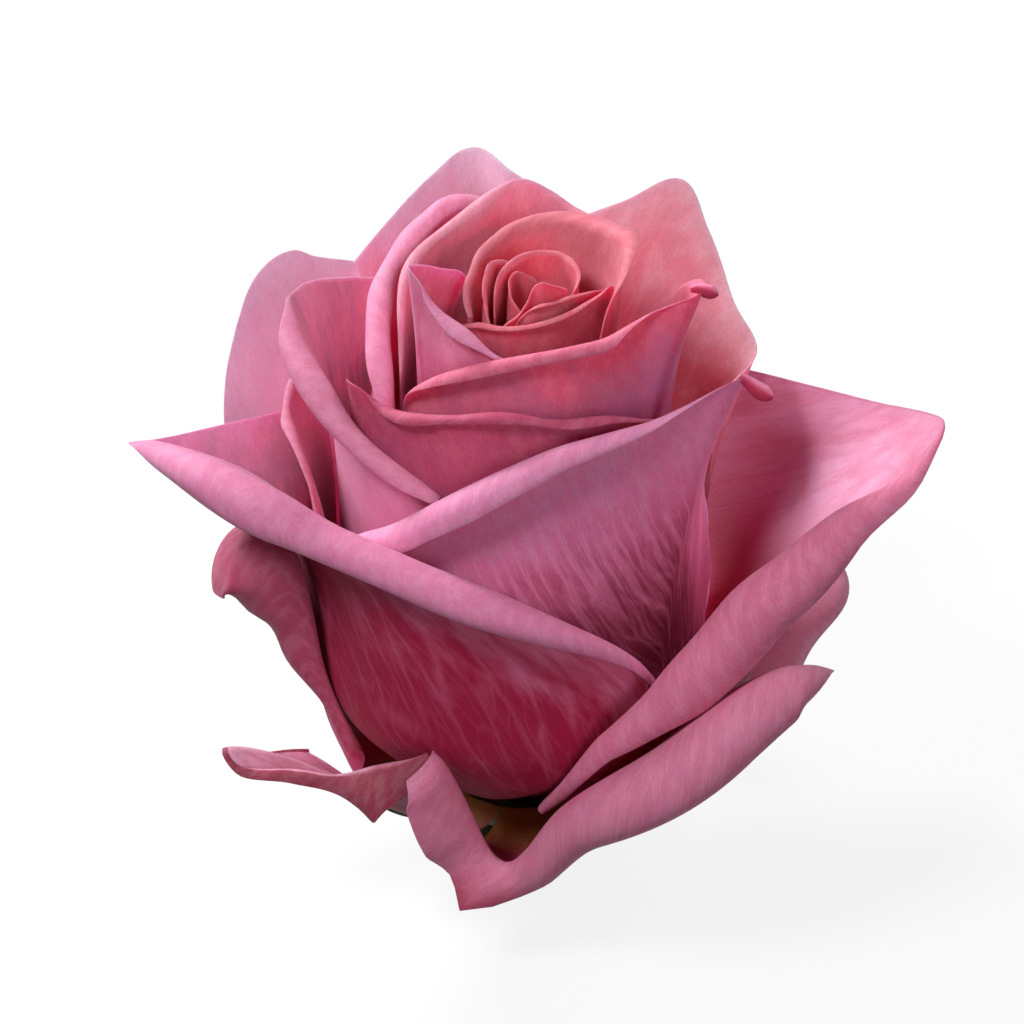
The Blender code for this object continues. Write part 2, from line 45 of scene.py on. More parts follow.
# mm: height of the slight ripple over a petal, and over a coil of the heart
RIPPLE, HEART_RIPPLE = 0.14, 0.06
# mm: height of every petal's foot, and over it of the bowl that the cupped petals share
PETAL_FOOT_Z = 9.25
BOWL_HEIGHT = 17.0
# degrees to either side of a petal's foot
CLAW_HALF_ANGLE = 20.0
# mm: how far the bud's petals lean off the axis, x and y, in full from this height over the foot
BUD_CENTRE = (1.3, -1.8)
BUD_LEAN_HEIGHT = 50.0
# points computed for each row kept beyond a crest
ROLL_STEPS = 8
# mm: the hip's radius and height, from the cut end up
HIP_PROFILE = [(3.4, 0), (3.5, 1.2), (4.6, 3.0), (6.6, 5.2), (7.9, 7.2), (8.3, 8.4), (8.1, 9.0)]
HIP_SIDES, HIP_ROWS = 96, 40
SEPAL_HALF_WIDTH = 2.9
SEPAL_FOLD = 0.55
SEPAL_COLUMNS, SEPAL_ROWS = 15, 41
CURL_RINGS, CURL_SIDES = 25, 20

PETALS = []


def petal(name, **spec):
    PETALS.append((name, spec))


# claw: azimuth of the foot. base_r: radius of the foot. wall: radius of the upright part.
# crest rows: azimuth, radius, height, outward lean, roll angle and roll radius beyond the crest.
# A seventh number under 1 turns the roll early, as in a fold, and a negative angle rolls inward.
# flare: how late the wall leaves for the crest. low, mid: the belly of a guard petal.
# guard ring, lowest and most rolled
petal("guard_front", claw=-64, base_r=7.7, wall=19.5, low=(14.5, 5.5), mid=0.28, claw_half=41.5, crest=[
    (-113, 22, 25, 30, 110, 2.2, 0.35), (-110.5, 21.8, 23.8, 25, 110, 3, 0.35),
    (-107.5, 21.4, 21.2, 25, 110, 3.3, 0.35), (-103, 21, 17.2, 30, 110, 3.3, 0.35),
    (-98.5, 20.8, 13.6, 45, 120, 2.4, 0.4), (-96.5, 20.7, 12.7, 50, 130, 3.1, 0.45),
    (-94, 20.9, 12.4, 55, 135, 1.9, 0.55), (-89, 22.2, 14.6, 65, 160, 1.8, 0.9),
    (-80, 25.5, 21.8, 70, 200, 2.4, 1), (-66, 29.5, 28.4, 70, 210, 2.8, 1),
    (-53, 31, 33.2, 60, 200, 2.7, 1), (-43, 32.2, 35.5, 50, 170, 2.5, 1),
    (-38, 33.2, 34.8, 45, 140, 1.7, 1), (-33, 34.3, 33, 40, 60, 0.5, 1),
])
petal("guard_front_left", claw=-126, base_r=7.7, wall=18, low=(14, 8), mid=0.3, crest=[
    (-155, 23, 17.4, 50, 30, 0.6, 0.5), (-152.5, 28, 19.6, 60, 40, 0.6, 0.5),
    (-149.5, 32.6, 22.6, 70, 60, 0.6, 0.5), (-147, 31.8, 21, 70, 80, 0.6, 0.5),
    (-141, 28, 20.8, 60, 110, 0.7, 0.4), (-135, 25.5, 20.9, 55, 125, 1, 0.3),
    (-131, 24.3, 21.4, 50, 130, 1.7, 0.3), (-128, 23.5, 21.8, 45, 130, 2.5, 0.3),
    (-124, 23, 22.4, 40, 130, 1.9, 0.3), (-119, 22.2, 23.2, 35, 130, 1.3, 0.3),
    (-114.8, 21.4, 24.2, 30, 120, 0.6, 0.3),
])
petal("guard_left", claw=168, base_r=7.7, wall=22.5, low=(15.5, 8.5), crest=[
    (135, 27, 22, 40, 140, 1.5, 0.6), (150, 27, 28, 30, 150, 1.8, 0.5), (168, 25.5, 34, 20, 165, 2.9, 0.4),
    (182, 24.6, 38, 12, 168, 3.4, 0.4), (193, 23.4, 39.5, 8, 168, 3.4, 0.4),
    (200, 22.7, 38, 5, 165, 3.4, 0.4), (204, 22.3, 34, 8, 165, 2.7, 0.4),
    (207, 22, 29.5, 15, 165, 1.8, 0.4), (211, 20.8, 24, 30, 160, 1.1, 0.4),
    (214, 19.3, 18.5, 50, 120, 0.8, 0.5),
])
petal("guard_right", claw=18, base_r=7.7, wall=22, low=(15, 8.5), crest=[
    (-6, 20, 12, 70, 60, 1), (1, 25, 16.5, 60, 60, 1), (8, 28.2, 20.9, 60, 60, 1),
    (12, 32.2, 25, 60, 60, 1), (22, 31.8, 27, 50, 120, 1.3), (38, 31, 29, 50, 150, 2.2),
    (52, 29, 29, 50, 160, 2.2), (66, 27, 27, 50, 120, 1.5),
])
petal("guard_back", claw=90, base_r=7.7, wall=21, low=(15, 8), crest=[
    (68, 24, 18, 60, 60, 1.5), (78, 28, 24, 60, 140, 2.5), (90, 31, 28, 55, 180, 3),
    (102, 33, 31, 50, 160, 2), (114, 31, 28, 55, 180, 3), (126, 26, 22, 60, 120, 2),
    (132, 22, 17, 60, 80, 1.5),
])
# second ring, the two long petals that wrap the flower
petal("long_left", claw=222, base_r=6.7, wall=20.6, flare=7, crest=[
    (160, 22.5, 45.5, 30, 5, 3), (166, 24, 46.5, 40, 5, 3), (171, 26.8, 46.7, 50, 5, 3),
    (175, 30, 46.8, 55, 6, 2), (178.5, 33.8, 46.8, 60, 8, 1.2), (181, 37.2, 47.1, 65, 10, 0.8),
    (190, 34.4, 50.3, 55, 120, 1.3), (203, 31, 52.6, 45, 170, 2.2),
    (215, 27.5, 51, 30, 200, 2.2), (224, 25, 48.5, 20, 210, 1.7), (240, 23, 46.6, 10, 210, 1.8),
    (262, 22.3, 43.8, 5, 210, 1.8), (285, 22, 38.8, 5, 200, 1.1), (298, 21.6, 34.4, 5, 190, 0.6),
    (304, 21.2, 31, 5, 160, 0.6),
])
petal("long_right", claw=-22, base_r=6.9, wall=21.8, flare=2.4, claw_half=24, crest=[
    (-84, 16.8, 15.8, 50, 120, 0.25), (-72, 21.3, 24.4, 35, 180, 1.25),
    (-61, 23.6, 30.9, 30, 200, 2.05), (-56, 24.2, 33.7, 30, 205, 2.7), (-51, 25, 36.5, 30, 210, 2.85),
    (-43, 26.6, 41.2, 30, 200, 3),
    (-36, 29, 44.4, 35, 180, 2.8), (-28, 32.5, 48.1, 45, 150, 2.3), (-20, 37, 50.2, 55, 100, 1.6),
    (-15, 39.8, 53.3, 60, 40, 1), (-11, 40, 53.3, 60, 15, 1), (-2, 38.5, 50.7, 55, 5, 3),
    (10, 34.5, 47.6, 50, 5, 3), (22, 30.5, 46.2, 40, 5, 3), (34, 27.8, 45.4, 30, 5, 3),
    (48, 26, 44.5, 25, 5, 3),
])
petal("back_left", claw=140, base_r=6.7, wall=20.3, flare=5, crest=[
    (112, 27.5, 51.2, 30, 4, 5), (122, 29, 52.6, 35, 4, 5), (131, 31.3, 53.9, 38, 4, 5),
    (134.5, 32, 55, 40, 4, 5), (142, 31.8, 55.2, 38, 4, 5), (150, 31, 53.8, 35, 4, 5),
    (154, 31.2, 50, 30, 4, 5), (157, 31.3, 46.2, 25, 4, 5), (159, 31, 41, 20, 4, 5),
    (160, 28.5, 36, 15, 4, 5),
])
petal("back_right", claw=54, base_r=6.7, wall=20, flare=3, crest=[
    (27, 21.8, 45.3, 20, 4, 5), (28.5, 23.6, 46.7, 20, 4, 5), (30.5, 25.8, 47.8, 20, 4, 5),
    (33, 27, 49, 30, 4, 5),
    (42, 27.8, 51.8, 35, 4, 5), (52, 29.5, 57.3, 40, 4, 5), (59, 30.5, 61.2, 45, 4, 5),
    (68, 27.3, 59.2, 35, 4, 5), (82, 24.3, 56.8, 20, 4, 5),
])
# third ring
petal("back_top", claw=102, base_r=5.7, wall=19.2, flare=4, crest=[
    (72, 22.3, 59, 20, 4, 5), (82, 23, 60.5, 25, 4, 5), (92, 25, 62.5, 35, 4, 5),
    (100, 29, 63.5, 45, 4, 5), (108, 28.3, 61.3, 35, 4, 5), (120, 26.5, 58, 30, 4, 5),
    (130, 25.5, 55.5, 25, 4, 5),
])
petal("thin_left", claw=190, base_r=5.7, wall=19.3, flare=5, crest=[
    (158, 22.2, 50.2, 10, 90, 0.5), (166, 22.3, 50.6, 10, 120, 0.5), (172, 22.2, 50.3, 10, 130, 0.5),
    (179, 22.1, 50.1, 10, 130, 0.5), (185, 22, 50, 10, 130, 0.5), (190, 21.8, 49.8, 10, 120, 0.5),
    (194, 21.7, 49.5, 10, 110, 0.45), (198, 21.7, 49, 10, 100, 0.4), (202, 21.7, 48.2, 10, 90, 0.4),
    (206, 21.8, 47, 10, 60, 0.4), (210, 22, 45, 10, 40, 0.4), (212.5, 21.8, 42.5, 10, 30, 0.4),
])
petal("cup_front", claw=298, base_r=5.7, wall=18.2, crest=[
    (212, 18.9, 41, 0, 120, 0.8), (222, 18.9, 43.5, 0, 180, 1.3), (233, 19, 46, 0, 200, 1.6),
    (245, 18.5, 49, 0, 200, 1.6), (257, 18.2, 51.8, 0, 200, 1.6), (268, 18.1, 54.2, 0, 200, 1.4),
    (281, 18, 56.2, 0, 190, 1.2), (296, 18.4, 57.3, 5, 180, 0.9), (308, 19.5, 58.2, 15, 150, 0.7),
    (317, 21.8, 60.3, 30, 100, 0.6), (323, 25, 62.8, 45, 40, 0.5), (326.5, 22.5, 58.6, 30, 50, 0.5),
    (331, 20.4, 54.8, 20, 50, 0.5), (335, 19, 51, 10, 50, 0.5), (338.5, 18.3, 46, 5, 50, 0.5),
    (342, 18.3, 40, 0, 50, 0.5), (345, 18.5, 35, 0, 40, 0.4),
])
# fourth ring
petal("cup_left", claw=160, base_r=4.7, wall=17.4, flare=7, crest=[
    (118, 19.5, 53, 10, 60, 0.8), (135, 21.5, 56, 20, 40, 0.8), (155, 22.3, 58.7, 20, 30, 0.8),
    (172, 22, 61, 20, 30, 0.8), (184, 21.7, 62.3, 20, 50, 0.9), (193, 21, 60.8, 15, 140, 1.2),
    (205, 19.9, 58.4, 5, 185, 1.4), (218, 19.2, 55.3, 0, 185, 1.2), (232, 18.1, 52.2, 0, 185, 0.9),
    (243, 17.4, 50, 0, 160, 0.6),
])
petal("cup_right", claw=20, base_r=4.7, wall=17.3, crest=[
    (-24, 17.3, 32, 0, 60, 0.8), (-5, 17.3, 36, 0, 80, 0.8), (18, 17.4, 39, 0, 80, 0.8),
    (42, 17.4, 40, 0, 80, 0.8), (65, 17.4, 39, 0, 80, 0.8), (85, 17.4, 36, 0, 60, 0.8),
])
petal("cup_front_inner", claw=250, base_r=4.7, wall=16.3, crest=[
    (200, 16.7, 54, 0, 60, 0.8), (206, 18, 57.5, 10, 60, 0.6), (213, 19, 59.3, 20, 30, 0.5),
    (219, 17.3, 57.8, 5, 150, 0.6), (230, 16.8, 57.4, 0, 190, 0.6), (247, 16.5, 58.6, 0, 190, 0.5),
    (266, 16.4, 59.4, 0, 190, 0.5), (284, 16.4, 58.4, 0, 180, 0.45), (300, 16.5, 57.9, 0, 160, 0.5),
    (316, 16.8, 56, 0, 120, 0.5),
])
# fifth ring, closing round the bud
petal("ring_left", claw=107, base_r=4.7, wall=15.6, crest=[
    (98, 13.4, 63.6, 5, 60, 0.8), (110, 13.6, 65, 10, 120, 0.9), (119, 13.6, 65.4, 10, 140, 1),
    (130, 13.1, 64.5, 5, 170, 1.05), (146, 12.6, 63.3, 0, 185, 1.05), (163, 12.3, 62.8, 0, 190, 1.05),
    (180, 12.4, 61.8, 0, 190, 1.05), (192, 12.9, 60, 0, 190, 1), (203, 13.5, 57.3, 0, 180, 1),
    (211, 13.9, 53.5, 0, 150, 0.9), (216, 14.1, 49, 0, 100, 0.8),
])
petal("ring_back", claw=75, base_r=3.7, wall=12.2, centre=(0.6, -2), crest=[
    (46, 10.2, 62.5, 0, 60, 0.8), (55, 11.4, 64.6, 5, 120, 0.8), (64, 12.4, 65.4, 15, 150, 0.7),
    (74, 13.3, 66, 20, 130, 0.6), (83, 14.1, 67.3, 20, 80, 0.5), (93, 14.5, 68.2, 20, 60, 0.5),
    (101, 14.1, 67.3, 20, 90, 0.5), (110, 13.4, 66.2, 15, 140, 0.6), (126, 12.9, 65, 10, 160, 0.55),
    (148, 12.2, 64.2, 0, 165, 0.5), (168, 11.7, 63.4, 0, 165, 0.4), (180, 11.7, 62, 0, 160, 0.3),
    (189, 11.9, 58.5, 0, 150, 0.25), (200, 12.4, 53.5, 0, 120, 0.25),
])
petal("bud_front", claw=325, base_r=3.7, wall=13.4, crest=[
    (215, 13.1, 54, 0, 60, 0.5), (222, 13, 57, 0, 120, 0.6), (234, 12.6, 59.3, 0, 160, 0.8),
    (252, 12.5, 61.7, 0, 190, 0.8), (272, 12.6, 63.3, 0, 190, 0.8), (290, 12.9, 64, 0, 190, 0.8),
    (306, 13.6, 64.3, 5, 170, 0.7), (316, 15.8, 66.4, 20, 100, 0.6), (322, 20, 69.8, 45, 40, 0.5),
    (330, 18.5, 68.5, 30, 60, 0.8), (345, 16, 66, 10, 90, 0.8), (360, 14.5, 63, 5, 90, 0.8),
    (375, 14, 59, 0, 60, 0.8),
])
# bud
petal("bud_left", claw=205, base_r=3.7, wall=10.8, crest=[
    (160, 5.9, 63.7, 0, 20, 0.3), (172, 6, 65, 0, 20, 0.3), (190, 7.3, 66.3, 0, 30, 0.35),
    (204, 10, 68.2, 5, 30, 0.35), (212, 12.2, 69.5, 10, 30, 0.35), (217, 13, 70, 15, 30, 0.4),
    (223, 12.3, 67.6, 5, 120, 0.5), (234, 11.6, 65.5, 0, 180, 0.6), (249, 11.2, 63.7, 0, 180, 0.6),
    (262, 11, 62, 0, 160, 0.5),
])
petal("bud_back", claw=55, base_r=2.8, wall=6.6, centre=BUD_CENTRE, crest=[
    (-44, 8.2, 62.5, 0, 20, 0.4), (-39, 8.4, 65, 5, 20, 0.4), (-30, 8.6, 67.2, 15, 60, 0.7),
    (-14, 8.2, 68.6, 20, 90, 1), (6, 7.9, 68.6, 20, 110, 1.2), (36, 7.7, 67.6, 15, 130, 1.2),
    (61, 8, 67.2, 15, 140, 1), (82, 8.4, 67.1, 10, 140, 0.7), (103, 8, 66.5, 5, 140, 0.6),
    (120, 7.2, 66, 0, 140, 0.5), (143, 6.4, 65.6, 0, 140, 0.45), (158, 6.1, 65.1, 0, 140, 0.4),
    (173, 6.2, 64.2, 0, 130, 0.45), (183, 6.2, 63.3, 0, 120, 0.45), (195, 6.2, 62.3, 0, 100, 0.4),
])
# heart of the bud
petal("heart_front", claw=275, base_r=2.8, wall=7.4, crest=[
    (222, 7.8, 62.5, 0, 120, 0.4), (235, 6.9, 62.8, 0, 150, 0.4), (252, 6.9, 63, 0, 150, 0.4),
    (272, 7, 63.4, 0, 150, 0.4), (291, 7.3, 64, 0, 150, 0.4), (310, 7.8, 64.7, 0, 130, 0.4),
    (325, 8.6, 65.6, 5, 90, 0.4), (333, 9, 65.9, 5, 60, 0.4), (337, 8.9, 64, 0, 40, 0.4),
])
petal("heart_a", claw=170, base_r=2.2, wall=5.7, centre=BUD_CENTRE, crest=[
    (110, 3.9, 62.7, 0, 40, 0.35), (125, 4.6, 64.9, 0, 80, 0.35), (140, 5, 65.3, 0, 100, 0.35),
    (165, 4.7, 64.9, 0, 100, 0.35), (190, 4.8, 64, 0, 90, 0.35), (210, 5, 62.2, 0, 60, 0.35),
    (220, 5, 60.5, 0, 40, 0.35),
])
petal("heart_b", claw=60, base_r=2.2, wall=4.8, centre=BUD_CENTRE, crest=[
    (-20, 3.4, 64, 0, 40, 0.4), (5, 3.8, 65.2, 0, 80, 0.4), (35, 3.9, 65.8, 0, 90, 0.4),
    (65, 4.1, 66, 0, 100, 0.4), (95, 3.6, 66, 0, 100, 0.4), (125, 3.2, 65.8, 0, 100, 0.4),
    (155, 3.4, 65.1, 0, 90, 0.4), (185, 3.8, 64, 0, 60, 0.4), (205, 4.2, 62.5, 0, 40, 0.4),
])
petal("heart_c", claw=290, base_r=2.2, wall=4.3, centre=BUD_CENTRE, crest=[
    (225, 4.9, 61, 0, 60, 0.4), (238, 4.3, 63, 0, 100, 0.4), (255, 3.6, 64.5, 0, 90, 0.4),
    (268, 3.1, 66.2, 5, 60, 0.4), (278, 3.1, 66.8, 10, 40, 0.4), (292, 3, 66.3, 5, 60, 0.4),
    (315, 3.1, 65.6, 0, 60, 0.4), (340, 3, 64.8, 0, 40, 0.4),
])
petal("heart_d", claw=200, base_r=1.2, wall=3.2, centre=BUD_CENTRE, crest=[
    (90, 1.9, 64.2, 0, 40, 0.3), (120, 2.2, 64.9, 0, 50, 0.3), (145, 2.4, 65.4, 0, 60, 0.3),
    (170, 2.5, 65, 0, 60, 0.3), (200, 2.5, 64, 0, 60, 0.3), (235, 2.3, 63, 0, 40, 0.3),
    (270, 2, 62.2, 0, 30, 0.3),
])
petal("heart_e", claw=332, base_r=2.8, wall=4.9, centre=BUD_CENTRE, crest=[
    (246, 4.4, 62, 0, 60, 0.3), (258, 4.3, 64.3, 0, 100, 0.3), (275, 4.2, 65, 0, 130, 0.3),
    (300, 4.2, 65.3, 0, 140, 0.3), (318, 4.7, 65.5, 0, 130, 0.3), (336, 5.5, 65.4, 0, 100, 0.3),
    (350, 6.2, 64.9, 0, 60, 0.3),
])

# azimuth, then the midrib's radius and height from foot to tip
SEPALS = [
    ("sepal_front", 252, [(8.5, 7.4), (9.8, 6.2), (9.9, 3.9), (8.7, 1.6), (7.6, 0.17)]),
    ("sepal_right", 342, [(8.5, 7.5), (11.5, 7.0), (14.5, 7.9), (17.5, 10.2), (20.0, 13.3)]),
    ("sepal_back_right", 54, [(8.5, 7.5), (12.0, 7.2), (15.5, 5.4), (18.8, 2.7), (21.6, 0.22)]),
    ("sepal_back_left", 126, [(8.5, 7.5), (12.0, 7.2), (15.5, 5.4), (18.8, 2.7), (21.6, 0.22)]),
    ("sepal_left", 198, [(8.5, 7.5), (11.5, 6.9), (14.3, 7.9), (17.0, 9.9)]),
]

# small curled petal tips: name, node, path (x, y, z) and half widths along it
CURLS = [
    ("cup_front_curl", "petal_cup_front",
     [(19.8, -15.0, 62.9), (20.5, -15.2, 62.4), (21.3, -15.6, 61.9), (22.1, -16.0, 61.6),
      (22.7, -16.4, 61.5)],
     (0.4, 0.65, 0.85, 0.95, 0.75)),
    ("bud_front_curl", "petal_bud_front",
     [(15.2, -11.5, 70.0), (15.9, -11.6, 70.1), (16.6, -11.8, 70.0), (17.2, -12.0, 69.9),
      (17.7, -12.2, 69.8)],
     (0.3, 0.5, 0.7, 0.75, 0.55)),
    ("back_right_curl", "petal_back_right",
     [(22.1, 21.5, 47.4), (22.5, 21.0, 46.6), (22.9, 20.6, 45.8), (23.1, 20.3, 45.1),
      (22.9, 20.2, 44.3)],
     (0.25, 0.45, 0.6, 0.55, 0.35)),
]
# petal margins that end in a deeper red: azimuth and width, as a share of the petal
TIPS = {
    "cup_front": [(322, 0.05)],
    "bud_front": [(322, 0.05)],
    "guard_front": [(-96.5, 0.07)],
    "long_left": [(181, 0.05)],
    "long_right": [(-14, 0.06)],
    "back_right": [(26, 0.08)],
}


def rgb(red, green, blue):
    """Linear colour of an 8-bit screen colour."""
    linear = []
    for value in (red, green, blue):
        value /= 255
        linear.append(value / 12.92 if value <= 0.04045 else ((value + 0.055) / 1.055) ** 2.4)
    return (*linear, 1.0)


# the first colour is the crimson painted low on the petals as shade of the flower's crevices
SHADE_CRIMSON, RED_TIP, FOOT, OLIVE = rgb(156, 18, 62), rgb(182, 46, 82), rgb(150, 40, 66), rgb(176, 134, 58)
ROSE, CORAL, MAGENTA = rgb(220, 104, 150), rgb(230, 112, 132), rgb(172, 28, 74)
PALE, DUSKY, MAUVE = rgb(255, 170, 200), rgb(176, 74, 104), rgb(242, 168, 202)
MAUVE_RIM, PINK_RIM, CORAL_RIM = rgb(236, 140, 180), rgb(246, 150, 186), rgb(244, 150, 172)

# outer face, inner face, rim, share of painted crimson shade low on the outer and the inner face
COLOURS = {
    "guard": (ROSE, ROSE, rgb(220, 130, 162), 0.85, 0.85),
    # the long petals' rim is darker: painted shade on the underside of long_right's roll
    "long": (MAGENTA, MAUVE, rgb(216, 120, 154), 0.9, 0.66),
    # the back petals are paler than the rest: painted light, for the light that falls on and through them
    "back": (PALE, PALE, rgb(255, 180, 208), 0.6, 0.3),
    "thin": (DUSKY, rgb(186, 130, 150), rgb(204, 120, 148), 0.7, 0.82),
    "cup": (ROSE, ROSE, MAUVE_RIM, 0.85, 0.85),
    "ring": (ROSE, CORAL, PINK_RIM, 0.7, 0.5),
    "heart": (DUSKY, CORAL, rgb(208, 102, 118), 0.7, 0.7),
}
# the same for the buds, and for single petals that differ from their group, some of them by painted light
# and some by painted shade
OWN_COLOURS = {
    "back_top": (rgb(232, 146, 172), rgb(232, 146, 172), rgb(255, 190, 214), 0.6, 0.4),
    "long_left": (MAGENTA, rgb(158, 128, 156), MAUVE_RIM, 0.9, 0.75),
    "bud_front": (rgb(184, 108, 152), CORAL, rgb(222, 108, 138), 0.7, 0.6),
    "back_right": (CORAL, rgb(230, 122, 140), rgb(255, 174, 188), 0.85, 0.95),
    "bud_back": (DUSKY, rgb(236, 138, 156), rgb(216, 116, 132), 0.5, 0.5),
    "bud_left": (rgb(204, 96, 146), rgb(178, 94, 118), PINK_RIM, 0.6, 0.6),
    "ring_back": (ROSE, rgb(224, 142, 160), CORAL_RIM, 0.4, 0.4),
    # guard_front_left: its paler faces are painted light, its dark rim is painted shade where the fold
    # hangs down
    "guard_front_left": (rgb(255, 176, 202), rgb(255, 176, 202), rgb(150, 62, 84), 0.4, 0.2),
    # guard_right is paler: painted light on a petal that sits in shade
    "guard_right": (rgb(255, 150, 180), rgb(255, 150, 180), rgb(255, 156, 186), 0.15, 0.15),
    # guard_left's darker crimson inner face and rim are painted shade
    "guard_left": (ROSE, rgb(158, 46, 80), rgb(174, 72, 106), 0.85, 0.85),
    "cup_front": (rgb(248, 126, 174), ROSE, rgb(240, 148, 188), 0.95, 0.85),
    "cup_left": (rgb(240, 150, 188), rgb(150, 122, 146), rgb(224, 138, 172), 0.85, 0.78),
    "cup_front_inner": (rgb(184, 86, 130), ROSE, rgb(192, 84, 118), 0.85, 0.85),
}
# how a petal's markings and painted crimson shade differ from petal_material's usual ones
MARKINGS = {
    # cup_front's darker crimson low on its face is painted shade under the rolled petals above it
    "cup_front": {"vein": 0.3, "streak": 0.75, "painted_shade": rgb(112, 22, 50), "span": (0.6, 1.0)},
    "cup_left": {"vein": 0.5, "streak": 0.4},
    "long_left": {"vein": 0.16, "span": (0.6, 1.08)},
    "guard_front_left": {"turn": (0.98, 1.2)},
}

PETAL_SHADER = {
    "Specular IOR Level": 0.2,
    "Sheen Weight": 0.08,
    "Sheen Roughness": 0.35,
    "Sheen Tint": (1.0, 0.7, 0.85, 1.0),
    "Subsurface Weight": 0.7,
    "Subsurface Radius": (1.0, 0.35, 0.5),
    "Subsurface Scale": 0.0012,
}
GREEN_SHADER = {
    "Subsurface Weight": 0.1,
    "Subsurface Radius": (0.4, 1.0, 0.2),
    "Subsurface Scale": 0.001,
}
# metres
BUMP_DISTANCE = 0.0002

# name, azimuth and elevation in degrees, size in m, power in W, colour
LIGHTS = [
    ("back_left_key", 138, 36, 0.2, 4.8, (1.0, 0.98, 0.97)),
    ("front_left", 228, 52, 0.2, 2.9, (1.0, 0.97, 0.97)),
    ("front_low", 292, 22, 0.3, 1.3, (1.0, 0.88, 0.92)),
    ("back_right_rim", 45, 35, 0.25, 1.0, (1.0, 0.94, 0.92)),
]
# m: how far each lamp stands from the point it aims at, and that point's height
LIGHT_DISTANCE, LIGHT_AIM_HEIGHT = 0.7, 0.04
WORLD_STRENGTH, WORLD_COLOUR = 0.09, (1.0, 0.8, 0.88, 1)
# m: half the floor's side
FLOOR_HALF = 3.0
# the floor as the camera sees it and as it lights the flower, and the share of plain white seen
FLOOR_SEEN, FLOOR_LIT, FLOOR_WHITE = (0.95, 0.95, 0.95, 1), (0.12, 0.12, 0.12, 1), 0.85
# degrees, m, mm, and the point it aims at in mm from the hip's cut end
CAMERA_ELEVATION, CAMERA_DISTANCE, CAMERA_LENS = 32, 0.42, 152.7
CAMERA_AIM = (-1.0, 0, 39.0)

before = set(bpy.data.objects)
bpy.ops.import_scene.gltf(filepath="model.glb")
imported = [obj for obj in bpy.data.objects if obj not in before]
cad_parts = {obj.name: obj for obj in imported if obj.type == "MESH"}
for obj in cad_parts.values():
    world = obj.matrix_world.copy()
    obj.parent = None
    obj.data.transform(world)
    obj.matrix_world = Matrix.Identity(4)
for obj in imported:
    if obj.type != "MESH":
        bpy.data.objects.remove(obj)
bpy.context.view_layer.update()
hip_low, hip_high = (np.array(corner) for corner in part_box("hip"))
AXIS = np.array([(hip_low[0] + hip_high[0]) / 2, (hip_low[1] + hip_high[1]) / 2, hip_low[2]])


def cartesian(rows):
    """x, y and z of points given as azimuth in degrees, radius and height."""
    angle = np.radians(rows[..., 0])
    radius = rows[..., 1]
    return np.stack([radius * np.cos(angle), radius * np.sin(angle), rows[..., 2]], -1)


def smooth_curve(points, count, to_xyz):
    """Points spaced evenly along a centripetal Catmull-Rom curve through the given ones."""
    p = np.asarray(points, float)
    gaps = np.linalg.norm(np.diff(to_xyz(p), axis=0), axis=1)
    knots = np.concatenate([[0], np.cumsum(gaps**0.5)])
    k = np.concatenate([[-knots[1]], knots, [2 * knots[-1] - knots[-2]]])
    full = np.vstack([2 * p[0] - p[1], p, 2 * p[-1] - p[-2]])
    t = np.linspace(0, knots[-1], 12 * count)
    i = np.clip(np.searchsorted(k, t, side="right") - 1, 1, len(p) - 1)
    t0, t1, t2, t3 = (k[i + j][:, None] for j in (-1, 0, 1, 2))
    p0, p1, p2, p3 = (full[i + j] for j in (-1, 0, 1, 2))
    t = t[:, None]

    def mix(a, b, ta, tb):
        return ((tb - t) * a + (t - ta) * b) / (tb - ta)

    a1, a2, a3 = mix(p0, p1, t0, t1), mix(p1, p2, t1, t2), mix(p2, p3, t2, t3)
    curve = mix(mix(a1, a2, t0, t2), mix(a2, a3, t1, t3), t1, t2)
    steps = np.linalg.norm(np.diff(to_xyz(curve), axis=0), axis=1)
    length = np.concatenate([[0], np.cumsum(steps)])
    want = np.linspace(0, length[-1], count)
    return np.stack([np.interp(want, length, curve[:, j]) for j in range(p.shape[1])], 1)


def guard_body(spec, r_c, z_c, lean, t):
    """Radius and height of a guard petal's ribs: a quartic Bezier that sags before it rises."""
    base_r = spec["base_r"]
    low_r, low_z = spec["low"]
    height = z_c - PETAL_FOOT_Z
    full = np.ones(len(r_c))
    lean = np.radians(lean)
    reach = np.hypot(r_c - base_r, height) * 0.3
    mid_z = PETAL_FOOT_Z + height * spec.get("mid", 0.45)
    ctrl_r = [base_r * full, low_r * full, spec["wall"] * full, r_c - reach * np.sin(lean), r_c]
    ctrl_z = [PETAL_FOOT_Z * full, low_z * full, mid_z, z_c - reach * np.cos(lean), z_c]
    weight = [math.comb(4, j) * (1 - t) ** (4 - j) * t**j for j in range(5)]
    r = sum(w * c[None] for w, c in zip(weight, ctrl_r))
    z = sum(w * c[None] for w, c in zip(weight, ctrl_z))
    return r, z


def cup_body(spec, r_c, z_c, t):
    """Radius and height of a cupped petal's ribs: a bowl, then a wall, then the flare to the crest."""

    def bowl(z):
        rise = np.clip((z - PETAL_FOOT_Z) / BOWL_HEIGHT, 0, 1)
        return spec["base_r"] + (spec["wall"] - spec["base_r"]) * np.sin(math.pi / 2 * rise)

    z = PETAL_FOOT_Z + (z_c - PETAL_FOOT_Z)[None] * t
    r = bowl(z) + (r_c - bowl(z_c))[None] * t ** spec.get("flare", 4.0)
    return r, z


